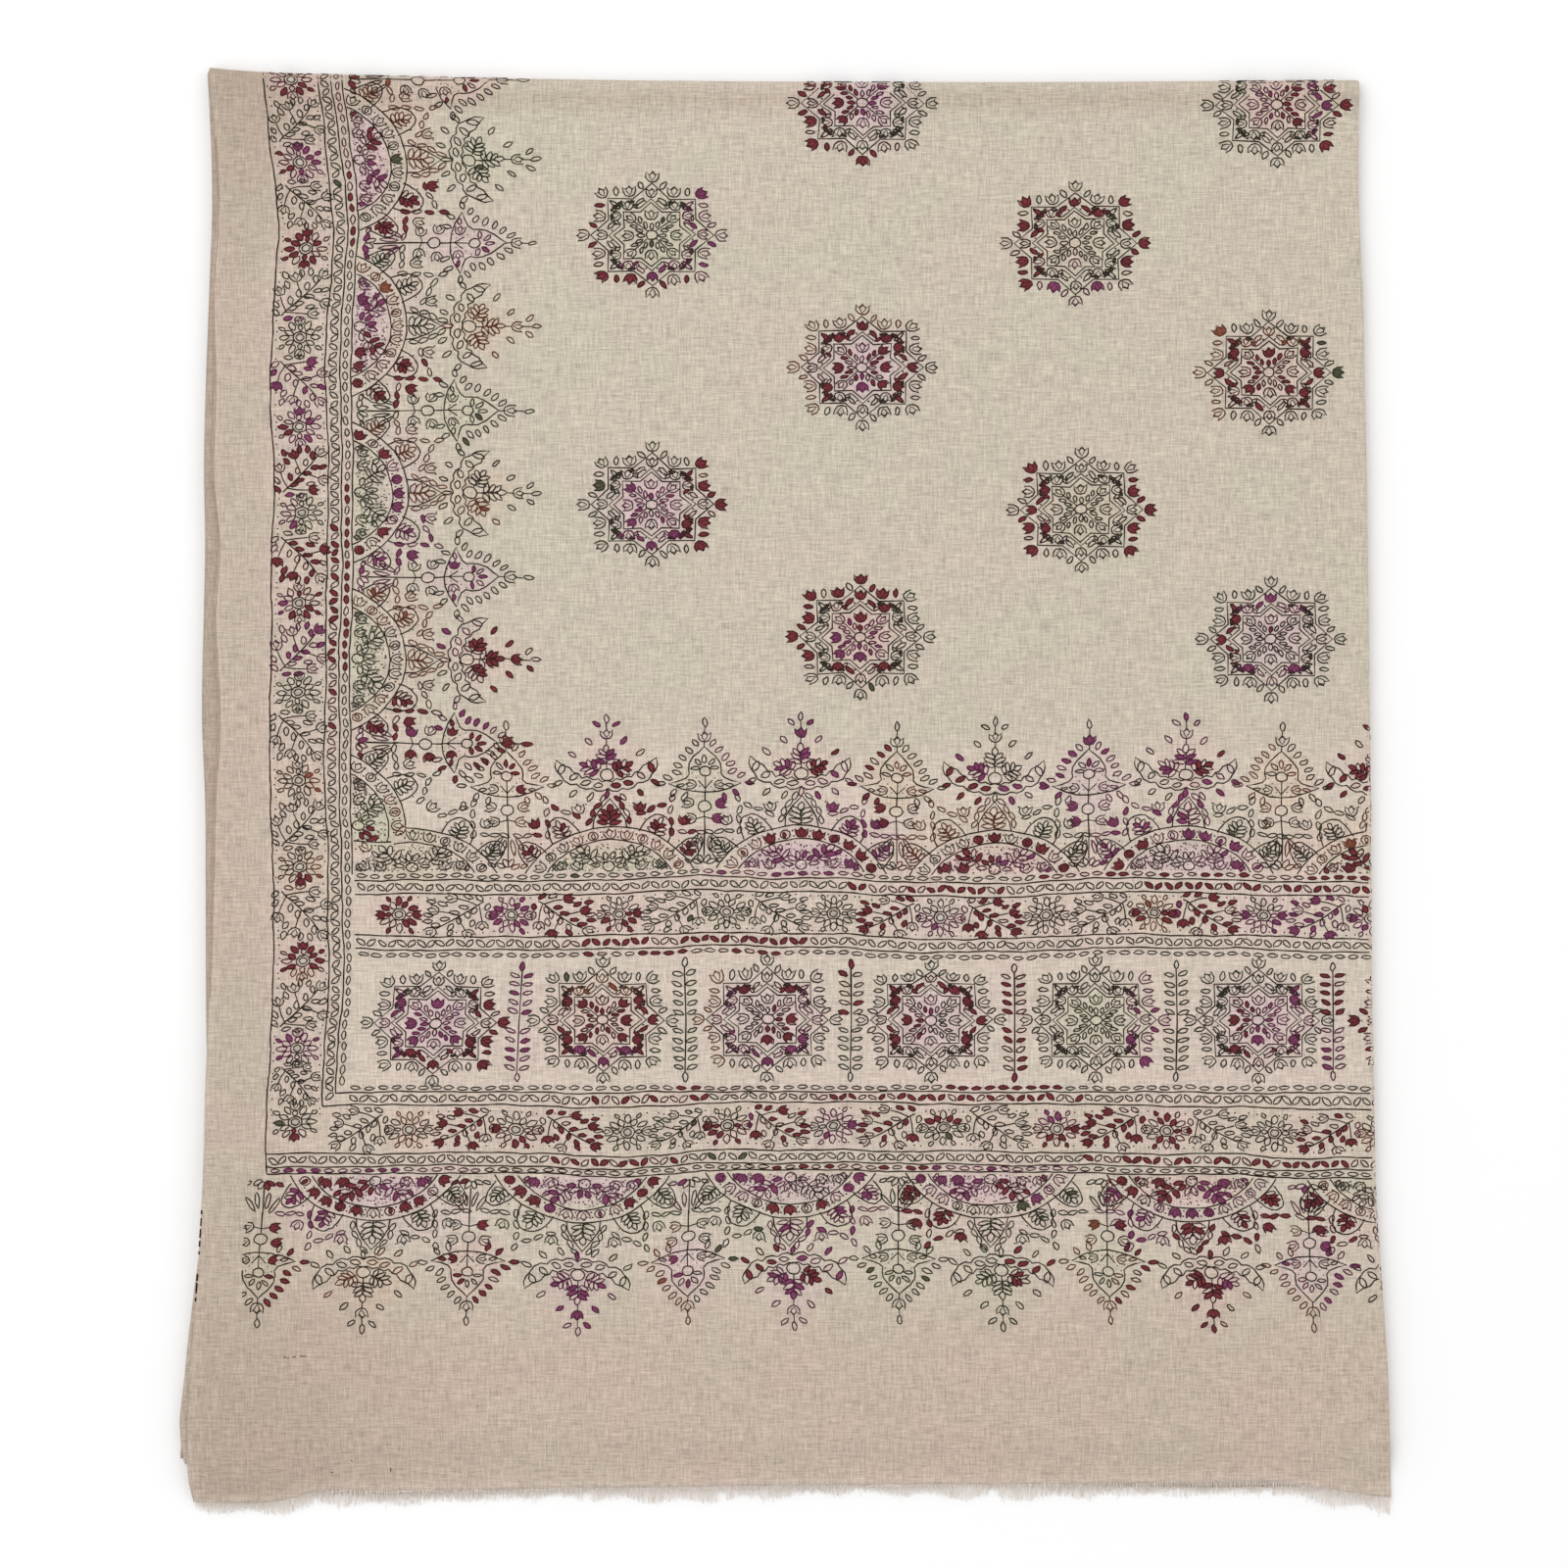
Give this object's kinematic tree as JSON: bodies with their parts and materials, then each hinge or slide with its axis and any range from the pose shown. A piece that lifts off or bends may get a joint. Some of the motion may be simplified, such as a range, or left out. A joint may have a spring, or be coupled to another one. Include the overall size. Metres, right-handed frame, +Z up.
{
  "type": "folded pashmina shawl",
  "caption": "Light woven shawl, folded lengthwise and then across into a flat rectangular bundle, with embroidered bands and medallions and a short frayed hem.",
  "frame": {"origin": "middle of the footprint, on the surface that the folded shawl lies on", "axes": "+Z up out of the surface, +X from the selvedges to the lengthwise fold, +Y from the frayed hem to the crosswise fold"},
  "size_m": [0.5296, 0.6336, 0.0079],
  "materials": {
    "cloth": "matt woven wool in warm grey beige",
    "cloth_inside": "matt woven wool in warm grey beige, slightly darker",
    "frayed_yarn": "matt frayed yarn ends, pale"
  },
  "bodies": {
    "root": {"front_panel": "cloth", "back_panel": "cloth", "under_layer": "cloth_inside", "hidden_layers": "cloth_inside", "front_fringe": "frayed_yarn", "under_fringe": "frayed_yarn"}
  },
  "joints": []
}
